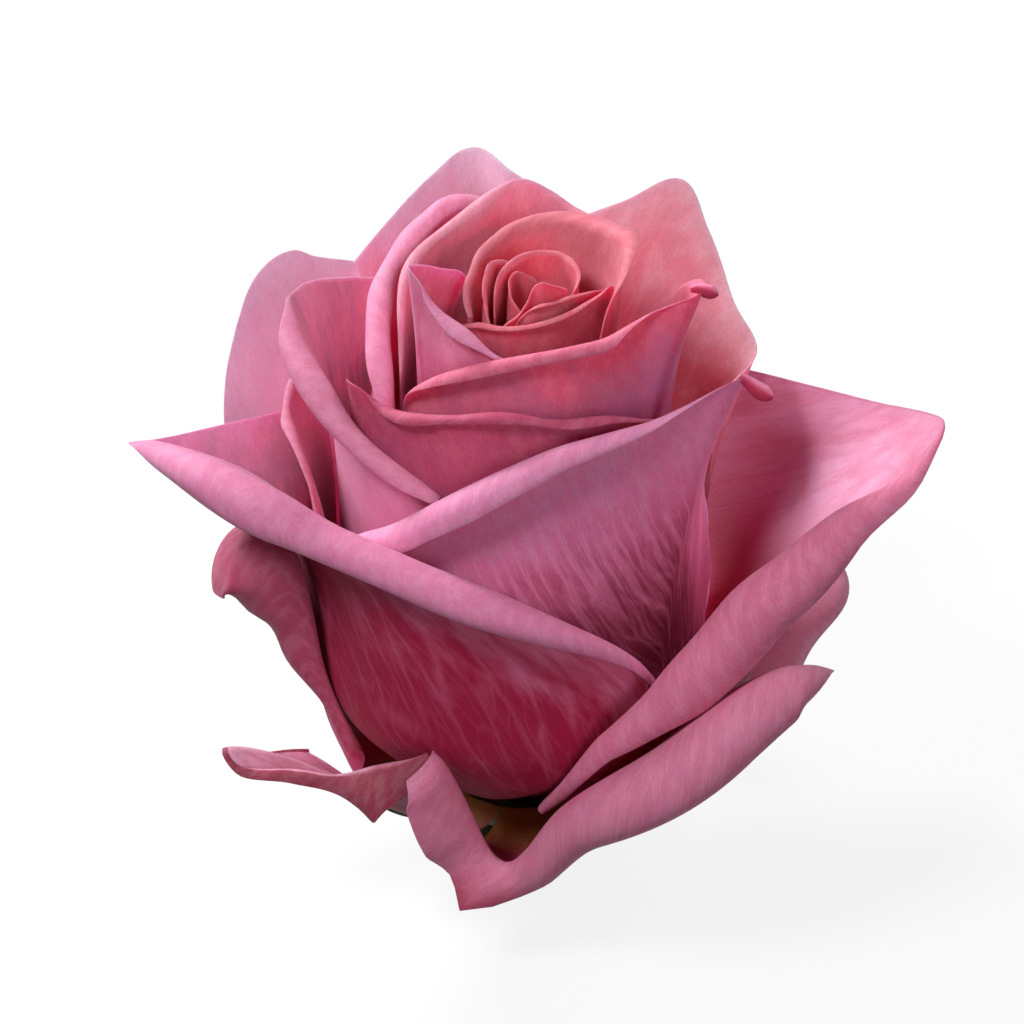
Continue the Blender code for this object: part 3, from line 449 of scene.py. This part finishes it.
def petal_sheet(spec):
    """The petal's middle surface as a grid of points, from its foot over the crest to its margin."""
    az_c, r_c, z_c, lean, curl, bend, *rest = smooth_curve(spec["crest"], COLUMNS, cartesian).T
    fold = rest[0] if rest else np.ones(COLUMNS)
    t = np.linspace(0, 1, ROWS)[:, None]
    if "low" in spec:
        r, z = guard_body(spec, r_c, z_c, lean, t)
    else:
        r, z = cup_body(spec, r_c, z_c, t)
    az_foot = spec["claw"] + np.linspace(-1, 1, COLUMNS) * spec.get("claw_half", CLAW_HALF_ANGLE)
    fan = 1 - (1 - t) ** 1.8
    body = cartesian(np.stack([az_foot[None] + (az_c - az_foot)[None] * fan, r, z], -1))
    lift = np.clip((z - PETAL_FOOT_Z) / BUD_LEAN_HEIGHT, 0, 1) ** 1.5
    body[..., :2] += lift[..., None] * np.array(spec.get("centre", (0, 0)))
    crest = body[-1]
    along = np.gradient(crest, axis=0)
    along /= np.linalg.norm(along, axis=1)[:, None]
    up = crest - body[-2]
    up /= np.linalg.norm(up, axis=1)[:, None]
    out = np.cross(along, up)
    out /= np.linalg.norm(out, axis=1)[:, None]
    over = np.cross(out, along)
    steps = ROLL_ROWS * ROLL_STEPS
    s = (np.arange(steps)[:, None] + 0.5) / steps
    phi = (np.radians(curl) * s**fold)[..., None]
    length = bend * np.radians(np.abs(curl)) / steps
    run = np.cumsum(np.cos(phi) * over + np.sin(phi) * out, axis=0) * length[:, None]
    return np.concatenate([body, crest + run[ROLL_STEPS - 1 :: ROLL_STEPS]])


def sheet_normals(sheet):
    """Unit normals of a grid of points, toward the outer face."""
    normal = np.cross(np.gradient(sheet, axis=1), np.gradient(sheet, axis=0))
    return normal / (np.linalg.norm(normal, axis=-1)[..., None] + 1e-9)


def waves(seed, across, along, count):
    """A smooth random height field over a petal, between about -1 and 1."""
    rng = np.random.default_rng(seed)
    total = np.zeros(across.shape)
    for _ in range(count):
        kx, ky = rng.uniform(1.5, 6.0), rng.uniform(1.0, 4.0)
        total += np.sin(kx * across + ky * along + rng.uniform(0, 6.28)) / count**0.5
    return total


def shell(name, sheet, thick, values, look, node):
    """A closed thin solid on both sides of a sheet, with float attributes for the material."""
    rows, columns = sheet.shape[:2]
    count = rows * columns
    half = sheet_normals(sheet) * thick[..., None] / 2
    points = np.concatenate([(sheet + half).reshape(-1, 3), (sheet - half).reshape(-1, 3)])
    a = (np.arange(rows - 1)[:, None] * columns + np.arange(columns - 1)).reshape(-1)
    b, c, d = a + 1, a + columns + 1, a + columns
    rim = list(range(columns))
    rim += [i * columns + columns - 1 for i in range(1, rows)]
    rim += [(rows - 1) * columns + j for j in range(columns - 2, -1, -1)]
    rim += [i * columns for i in range(rows - 2, 0, -1)]
    p = np.array(rim)
    q = np.roll(p, -1)
    faces = np.concatenate(
        [
            np.stack([a, b, c, d], 1),
            np.stack([a, d, c, b], 1) + count,
            np.stack([p, p + count, q + count, q], 1),
        ]
    )
    mesh = bpy.data.meshes.new(name)
    mesh.from_pydata((points * MM + AXIS).tolist(), [], faces.tolist())
    for key, value in values.items():
        layer = mesh.attributes.new(key, "FLOAT", "POINT")
        layer.data.foreach_set("value", np.tile(value.reshape(-1), 2).astype(np.float32))
    side = mesh.attributes.new("outer", "FLOAT", "POINT")
    side.data.foreach_set("value", np.repeat([1.0, 0.0], count).astype(np.float32))
    mesh.shade_smooth()
    mesh.set_sharp_from_angle(angle=math.radians(60))
    mesh.materials.append(look)
    obj = bpy.data.objects.new(name, mesh)
    bpy.context.scene.collection.objects.link(obj)
    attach(obj, "root")
    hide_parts(node)


def tube_faces(rings, sides, first):
    """Faces between the rings of a tube whose points start at the given number."""
    faces = []
    for j in range(rings - 1):
        low = first + j * sides
        for k in range(sides):
            after = (k + 1) % sides
            faces.append((low + k, low + after, low + sides + after, low + sides + k))
    return faces


def arc_lengths(sheet, axis):
    """Distance run along each row or column of a sheet, in mm."""
    steps = np.linalg.norm(np.diff(sheet, axis=axis), axis=-1)
    pad = [(0, 0), (0, 0)]
    pad[axis] = (1, 0)
    return np.cumsum(np.pad(steps, pad), axis=axis)


class Nodes:
    """Short calls for building a material's node tree."""

    def __init__(self, name):
        self.material = bpy.data.materials.new(name)
        self.material.use_nodes = True
        self.tree = self.material.node_tree
        self.tree.nodes.clear()

    def add(self, kind, **settings):
        node = self.tree.nodes.new(kind)
        for key, value in settings.items():
            setattr(node, key, value)
        return node

    def put(self, value, socket):
        if isinstance(value, bpy.types.NodeSocket):
            self.tree.links.new(value, socket)
        else:
            socket.default_value = value

    def math(self, operation, a, b):
        node = self.add("ShaderNodeMath", operation=operation)
        self.put(a, node.inputs[0])
        self.put(b, node.inputs[1])
        return node.outputs[0]

    def attribute(self, name):
        return self.add("ShaderNodeAttribute", attribute_name=name).outputs["Fac"]

    def vector(self, x, y, z=0.0):
        node = self.add("ShaderNodeCombineXYZ")
        for socket, value in zip(node.inputs, (x, y, z)):
            self.put(value, socket)
        return node.outputs[0]

    def grey(self, value):
        return self.vector(value, value, value)

    def plus_share(self, a, b, share):
        return self.math("ADD", a, self.math("MULTIPLY", b, share))

    def spot(self, x, y, seed, x_scale=1.0, y_scale=1.0):
        """A place on a flat pattern, moved by the seed so that no two petals share it."""
        x, y = self.math("MULTIPLY", x, x_scale), self.math("MULTIPLY", y, y_scale)
        return self.vector(self.math("ADD", x, 17.3 * seed), self.math("ADD", y, 9.1 * seed))

    def noise(self, vector, scale=1.0, detail=3.0, rough=0.5, dimensions="2D"):
        node = self.add("ShaderNodeTexNoise", noise_dimensions=dimensions)
        self.put(vector, node.inputs["Vector"])
        self.put(scale, node.inputs["Scale"])
        self.put(detail, node.inputs["Detail"])
        self.put(rough, node.inputs["Roughness"])
        return node.outputs["Fac"]

    def crack(self, vector):
        """Distance to the nearest edge of a flat net of cells, about 1 across."""
        node = self.add("ShaderNodeTexVoronoi", feature="DISTANCE_TO_EDGE", voronoi_dimensions="2D")
        self.put(vector, node.inputs["Vector"])
        self.put(1.0, node.inputs["Scale"])
        return node.outputs["Distance"]

    def step(self, value, low, high, to_low=0.0, to_high=1.0):
        node = self.add("ShaderNodeMapRange", interpolation_type="SMOOTHSTEP")
        for socket, number in zip(node.inputs, (value, low, high, to_low, to_high)):
            self.put(number, socket)
        return node.outputs[0]

    def mix(self, factor, a, b, blend="MIX"):
        node = self.add("ShaderNodeMix", data_type="RGBA", blend_type=blend)
        self.put(factor, node.inputs[0])
        self.put(a, node.inputs[6])
        self.put(b, node.inputs[7])
        return node.outputs[2]

    def bump(self, height, strength):
        node = self.add("ShaderNodeBump")
        self.put(height, node.inputs["Height"])
        self.put(strength, node.inputs["Strength"])
        self.put(BUMP_DISTANCE, node.inputs["Distance"])
        return node.outputs[0]

    def principled(self, settings, **links):
        """Ends the tree in a principled shader with these links and these constant settings."""
        shader = self.add("ShaderNodeBsdfPrincipled")
        for key, socket in links.items():
            self.put(socket, shader.inputs[key.replace("_", " ")])
        for key, value in settings.items():
            shader.inputs[key].default_value = value
        self.put(shader.outputs[0], self.add("ShaderNodeOutputMaterial").inputs[0])
        return self.material


def petal_material(
    name, colours, foot, seed, vein=0.3, streak=0.0, painted_shade=SHADE_CRIMSON, span=(0.3, 0.98), turn=(0.7, 1.12)
):
    """Velvety petal: branching pale veins, fine fibres, a paler rolled rim and a redder tip.

    colours are a row of COLOURS. The crimson low on the petal, given as an argument, is painted shade
    of the flower's crevices; it fades out over span, and the rim's colour comes in over turn, both as
    shares of the way to the crest. vein and streak say how strongly the rim's colour marks the rest of
    the petal.
    """
    wall, inner, rim, shade_out, shade_in = colours
    n = Nodes(name)
    along, u_mm, l_mm = n.attribute("along"), n.attribute("u_mm"), n.attribute("l_mm")
    outer, to_tip = n.attribute("outer"), n.attribute("tip")
    wander = n.noise(n.spot(u_mm, l_mm, seed, 0.16, 0.12), detail=2)
    drift = n.math("MULTIPLY", n.math("SUBTRACT", wander, 0.5), 3)
    fan = n.math("ADD", u_mm, drift)
    main_veins = n.crack(n.spot(fan, l_mm, seed, 0.24, 0.05))
    fine_veins = n.crack(n.spot(fan, l_mm, seed + 3, 0.75, 0.2))
    veins = n.math("ADD", n.step(main_veins, 0, 0.1, 0.9, 0), n.step(fine_veins, 0, 0.14, 0.5, 0))
    fibres = n.noise(n.spot(fan, l_mm, seed, 5.0, 1.2), detail=3, rough=0.6)
    mottle = n.noise(n.spot(u_mm, l_mm, seed), scale=0.16, detail=4, rough=0.55)
    cells = n.noise(n.spot(u_mm, l_mm, seed), scale=4.5, detail=3, rough=0.6)
    wisps = n.noise(n.spot(u_mm, l_mm, seed + 11, 0.7, 0.5), detail=4, rough=0.6)

    body = n.mix(outer, inner, wall)
    body = n.mix(n.step(mottle, 0.38, 0.75, 0, 0.3), body, rim)
    # painted shade: darker crimson low on the petal, standing for the shade in the flower's crevices
    shaded_low_part = n.step(n.plus_share(along, mottle, 0.2), *span, 1, 0)
    body = n.mix(n.math("MULTIPLY", shaded_low_part, n.step(outer, 0, 1, shade_in, shade_out)), body, painted_shade)
    if streak:
        straight = n.plus_share(u_mm, drift, 0.25)
        streaks = n.noise(n.spot(straight, l_mm, seed + 7, 1.3, 0.1), detail=3, rough=0.6)
        upper_part = n.math("MULTIPLY", n.step(along, 0.5, 0.85, 0.15, 1), streak)
        body = n.mix(n.math("MULTIPLY", n.step(streaks, 0.44, 0.62), upper_part), body, rim)
    seen_veins = n.math("MULTIPLY", veins, n.step(mottle, 0.25, 0.6, vein / 3, vein))
    body = n.mix(seen_veins, body, rim)

    dusk, pale = [0.93 * c for c in rim], [c + 0.05 * (1 - c) for c in rim]
    uneven_rim = n.mix(n.step(wisps, 0.35, 0.68), dusk, pale)
    on_rim = n.step(n.plus_share(along, n.math("SUBTRACT", mottle, 0.5), 0.4), *turn)
    colour = n.mix(on_rim, body, uneven_rim)
    grain = n.math("MULTIPLY", n.step(fibres, 0.25, 0.75, 0.95, 1.05), n.step(cells, 0.3, 0.7, 0.95, 1.05))
    colour = n.mix(1.0, colour, n.grey(grain), "MULTIPLY")
    colour = n.mix(to_tip, colour, RED_TIP)
    colour = n.mix(n.step(n.plus_share(along, mottle, 0.15), 0.12, 0.4, 0.9, 0), colour, foot)

    relief = n.math("ADD", n.math("MULTIPLY", fibres, 0.5), n.math("MULTIPLY", cells, 0.5))
    relief = n.math("SUBTRACT", relief, n.math("MULTIPLY", veins, 0.2))
    roughness = n.step(fibres, 0.3, 0.7, 0.65, 0.52)
    normal = n.bump(relief, 0.28)
    return n.principled(PETAL_SHADER, Base_Color=colour, Roughness=roughness, Normal=normal)


def green_material(name, fresh, dull):
    """Waxy green skin in two tones, with a fine grain."""
    n = Nodes(name)
    place = n.add("ShaderNodeTexCoord").outputs["Object"]
    patches = n.noise(place, scale=260, detail=4, rough=0.6, dimensions="3D")
    grain = n.noise(place, scale=2200, detail=2, rough=0.6, dimensions="3D")
    colour = n.mix(n.step(patches, 0.35, 0.65), fresh, dull)
    colour = n.mix(1.0, colour, n.grey(n.step(grain, 0.3, 0.7, 0.8, 1.15)), "MULTIPLY")
    roughness = n.step(patches, 0.3, 0.7, 0.45, 0.65)
    normal = n.bump(n.math("ADD", grain, patches), 0.5)
    return n.principled(GREEN_SHADER, Base_Color=colour, Roughness=roughness, Normal=normal)


def red_tip(name, spec, across, along):
    """How red each point of a petal is, for the spots that TIPS gives on its margin."""
    tip = np.zeros(across.shape)
    crest_azimuth = smooth_curve(spec["crest"], COLUMNS, cartesian)[:, 0]
    on_margin = np.clip((along - 1.5) * 2.5, 0, 1)
    for azimuth, size in TIPS.get(name, []):
        place = np.interp(azimuth, crest_azimuth, np.linspace(-1, 1, COLUMNS))
        tip = np.maximum(tip, 0.7 * np.exp(-(((across - place) / size) ** 2)) * on_margin)
    return tip


def build_petal(name, spec, seed):
    sheet = petal_sheet(spec)
    across = np.tile(np.linspace(-1, 1, COLUMNS), (len(sheet), 1))
    along = np.concatenate([np.linspace(0, 1, ROWS), 1 + np.arange(1, ROLL_ROWS + 1) / ROLL_ROWS])
    along = np.tile(along[:, None], (1, COLUMNS))
    reach = arc_lengths(sheet, 0)
    reach /= reach[ROWS - 1]
    kind = name.split("_")[0]
    ripple = waves(seed, across * 2.5, reach * 3.0, 6) * (HEART_RIPPLE if kind == "heart" else RIPPLE)
    ripple *= np.clip(along, 0, 1) ** 2
    sheet = sheet + sheet_normals(sheet) * ripple[..., None]
    u_mm = arc_lengths(sheet, 1)
    l_mm = arc_lengths(sheet, 0)
    edge = np.minimum(np.minimum(u_mm, u_mm[:, -1:] - u_mm), l_mm[-1:] - l_mm) / THINNING
    thick = MARGIN_THICK + (PETAL_THICK - MARGIN_THICK) * np.clip(edge, 0, 1) ** 0.7
    tip = red_tip(name, spec, across, along)
    values = {"along": along, "u_mm": u_mm, "l_mm": l_mm, "tip": tip}
    colours = OWN_COLOURS.get(name) or COLOURS[kind]
    foot = OLIVE if kind == "guard" else FOOT
    look = petal_material("petal_" + name, colours, foot, float(seed), **MARKINGS.get(name, {}))
    shell("rose_" + name, sheet, thick, values, look, "petal_" + name)


def build_curl(name, path, widths, look, node):
    """The curled tip of a petal: a flattened tapering tube along a path, closed at both ends."""
    centre = smooth_curve(path, CURL_RINGS, lambda p: p[:, :3])
    ahead = np.gradient(centre, axis=0)
    ahead /= np.linalg.norm(ahead, axis=1)[:, None]
    side = np.cross(ahead, (0, 0, 1))
    side /= np.linalg.norm(side, axis=1)[:, None]
    top = np.cross(side, ahead)
    s = np.linspace(0, 1, CURL_RINGS)
    half = np.interp(s, np.linspace(0, 1, len(widths)), widths)
    half *= np.sqrt(np.clip(1.03 - s**6, 0.01, 1))
    angle = 2 * math.pi * np.arange(CURL_SIDES) / CURL_SIDES
    ring = side[:, None] * np.cos(angle)[:, None] * 0.7 + top[:, None] * np.sin(angle)[:, None]
    points = (centre[:, None] + half[:, None, None] * ring).reshape(-1, 3)
    count = len(points)
    faces = [tuple(range(CURL_SIDES))[::-1], tuple(range(count - CURL_SIDES, count))]
    faces += tube_faces(CURL_RINGS, CURL_SIDES, 0)
    mesh = bpy.data.meshes.new("rose_" + name)
    mesh.from_pydata((points * MM + AXIS).tolist(), [], faces)
    from_top = np.abs(np.sin(angle / 2 - math.pi / 4))
    values = {
        "along": np.full(count, 1.2),
        "u_mm": np.tile(from_top * 2, CURL_RINGS),
        "l_mm": np.repeat(s * 3, CURL_SIDES),
        "tip": np.clip(2.2 * np.tile(from_top, CURL_RINGS) - 0.2, 0.1, 0.96),
    }
    for key, value in values.items():
        layer = mesh.attributes.new(key, "FLOAT", "POINT")
        layer.data.foreach_set("value", value.astype(np.float32))
    mesh.shade_smooth()
    mesh.materials.append(look)
    obj = bpy.data.objects.new("rose_" + name, mesh)
    bpy.context.scene.collection.objects.link(obj)
    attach(obj, "root")
    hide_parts(node)


def sepal_sheet(azimuth, midrib):
    """A narrow pointed blade folded a little along its midrib."""
    rib = smooth_curve(midrib, SEPAL_ROWS, lambda p: np.pad(p, ((0, 0), (0, 1))))
    step = np.gradient(rib, axis=0)
    step /= np.linalg.norm(step, axis=1)[:, None]
    angle = math.radians(azimuth)
    outward = np.array([math.cos(angle), math.sin(angle), 0])
    side = np.array([-math.sin(angle), math.cos(angle), 0])
    sheet = []
    for j, (r, z) in enumerate(rib):
        s = j / (SEPAL_ROWS - 1)
        half = SEPAL_HALF_WIDTH * (0.55 + 1.35 * s) * (1 - s**1.6) + 0.2
        middle = outward * r + np.array([0, 0, z])
        normal = np.array([0, 0, 1]) * step[j][0] - outward * step[j][1]
        row = []
        for u in np.linspace(-1, 1, SEPAL_COLUMNS):
            row.append(middle + side * u * half + normal * SEPAL_FOLD * (abs(u) - 0.5) * half / 3)
        sheet.append(row)
    return np.array(sheet)


def build_sepal(name, azimuth, midrib, look):
    sheet = sepal_sheet(azimuth, midrib)
    across = np.tile(np.linspace(-1, 1, SEPAL_COLUMNS), (SEPAL_ROWS, 1))
    thick = 0.28 + 0.2 * (1 - np.abs(across))
    shell("rose_" + name, sheet, thick, {}, look, name)


def build_hip(look):
    """The hip turned on the flower's axis, with a slightly uneven skin and a cupped cut end."""
    profile = smooth_curve(HIP_PROFILE, HIP_ROWS, lambda p: np.pad(p, ((0, 0), (0, 1))))
    angle = 2 * math.pi * np.arange(HIP_SIDES) / HIP_SIDES
    uneven = 0.012 * np.sin(5 * angle + 0.6) + 0.006 * np.sin(11 * angle)
    points = [(0, 0, 0.25)]
    for r, z in profile:
        radius = r * (1 + uneven * min(1.0, z / 2.0))
        points += zip(radius * np.cos(angle), radius * np.sin(angle), [z] * HIP_SIDES)
    points.append((0, 0, profile[-1][1]))
    last = len(points) - 1
    top = last - HIP_SIDES
    faces = tube_faces(HIP_ROWS, HIP_SIDES, 1)
    for k in range(HIP_SIDES):
        after = (k + 1) % HIP_SIDES
        faces.append((0, 1 + after, 1 + k))
        faces.append((last, top + k, top + after))
    mesh = bpy.data.meshes.new("rose_hip")
    mesh.from_pydata((np.array(points) * MM + AXIS).tolist(), [], faces)
    mesh.shade_smooth()
    mesh.set_sharp_from_angle(angle=math.radians(50))
    mesh.materials.append(look)
    obj = bpy.data.objects.new("rose_hip", mesh)
    bpy.context.scene.collection.objects.link(obj)
    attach(obj, "root")
    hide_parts("hip")


def white_for_camera(n, surface):
    """Mixes white into what the camera, mirrors and glass see of a surface, not into its light."""
    path = n.add("ShaderNodeLightPath")
    seen = n.math("MAXIMUM", path.outputs["Is Camera Ray"], path.outputs["Is Glossy Ray"])
    seen = n.math("MAXIMUM", seen, path.outputs["Is Transmission Ray"])
    glow = n.add("ShaderNodeEmission")
    glow.inputs["Strength"].default_value = 1.0
    mixed = n.add("ShaderNodeMixShader")
    n.put(n.math("MULTIPLY", seen, FLOOR_WHITE), mixed.inputs[0])
    n.put(surface, mixed.inputs[1])
    n.put(glow.outputs[0], mixed.inputs[2])
    return mixed.outputs[0]


def build_floor():
    mesh = bpy.data.meshes.new("floor")
    corners = [(-1, -1, 0), (1, -1, 0), (1, 1, 0), (-1, 1, 0)]
    mesh.from_pydata([(FLOOR_HALF * x, FLOOR_HALF * y, z) for x, y, z in corners], [], [(0, 1, 2, 3)])
    n = Nodes("floor")
    matte = n.add("ShaderNodeBsdfDiffuse")
    path = n.add("ShaderNodeLightPath")
    n.put(n.mix(path.outputs["Is Camera Ray"], FLOOR_LIT, FLOOR_SEEN), matte.inputs["Color"])
    out = n.add("ShaderNodeOutputMaterial")
    n.put(white_for_camera(n, matte.outputs[0]), out.inputs[0])
    mesh.materials.append(n.material)
    floor = bpy.data.objects.new("floor", mesh)
    bpy.context.scene.collection.objects.link(floor)


def light_world():
    """A dim soft glow all round, which the camera sees as plain white."""
    world = bpy.data.worlds.new("studio")
    world.use_nodes = True
    bpy.context.scene.world = world
    tree = world.node_tree
    tree.nodes.clear()
    path = tree.nodes.new("ShaderNodeLightPath")
    seen = tree.nodes.new("ShaderNodeMath")
    seen.operation = "MAXIMUM"
    tree.links.new(path.outputs["Is Camera Ray"], seen.inputs[0])
    tree.links.new(path.outputs["Is Transmission Ray"], seen.inputs[1])
    soft = tree.nodes.new("ShaderNodeBackground")
    soft.inputs["Color"].default_value = WORLD_COLOUR
    soft.inputs["Strength"].default_value = WORLD_STRENGTH
    white = tree.nodes.new("ShaderNodeBackground")
    white.inputs["Strength"].default_value = 1.0
    mixed = tree.nodes.new("ShaderNodeMixShader")
    out = tree.nodes.new("ShaderNodeOutputWorld")
    tree.links.new(seen.outputs[0], mixed.inputs[0])
    tree.links.new(soft.outputs[0], mixed.inputs[1])
    tree.links.new(white.outputs[0], mixed.inputs[2])
    tree.links.new(mixed.outputs[0], out.inputs["Surface"])


def area_light(name, azimuth, elevation, size, power, colour):
    """A round lamp that faces the flower."""
    light = bpy.data.lights.new(name, "AREA")
    light.shape = "DISK"
    light.size = size
    light.energy = power
    light.color = colour
    obj = bpy.data.objects.new(name, light)
    az, el = math.radians(azimuth), math.radians(elevation)
    away = np.array([math.cos(az) * math.cos(el), math.sin(az) * math.cos(el), math.sin(el)])
    obj.location = AXIS + np.array([0, 0, LIGHT_AIM_HEIGHT]) + away * LIGHT_DISTANCE
    obj.rotation_euler = (math.pi / 2 - el, 0, az + math.pi / 2)
    bpy.context.scene.collection.objects.link(obj)


def add_camera():
    elevation = math.radians(CAMERA_ELEVATION)
    aim = AXIS + np.array(CAMERA_AIM) * MM
    camera = bpy.data.cameras.new("camera")
    camera.lens = CAMERA_LENS
    camera.sensor_width = 36
    camera.clip_start = 0.01
    obj = bpy.data.objects.new("camera", camera)
    toward = np.array([0, -math.cos(elevation), math.sin(elevation)])
    obj.location = aim + CAMERA_DISTANCE * toward
    obj.rotation_euler = (math.pi / 2 - elevation, 0, 0)
    bpy.context.scene.collection.objects.link(obj)
    bpy.context.scene.camera = obj


build_hip(green_material("hip_skin", rgb(84, 92, 40), rgb(62, 44, 26)))
leaf = green_material("sepal_skin", rgb(92, 118, 52), rgb(66, 84, 38))
for name, azimuth, midrib in SEPALS:
    build_sepal(name, azimuth, midrib, leaf)
for number, (name, spec) in enumerate(PETALS):
    build_petal(name, spec, number + 1)
for number, (name, node, path, widths) in enumerate(CURLS):
    pink = (PINK_RIM, PINK_RIM, PINK_RIM, 0, 0)
    look = petal_material("curl_" + name, pink, FOOT, number + 60.0)
    build_curl(name, path, widths, look, node)
build_floor()
light_world()
for light in LIGHTS:
    area_light(*light)
add_camera()
bpy.context.scene.view_settings.view_transform = "Standard"
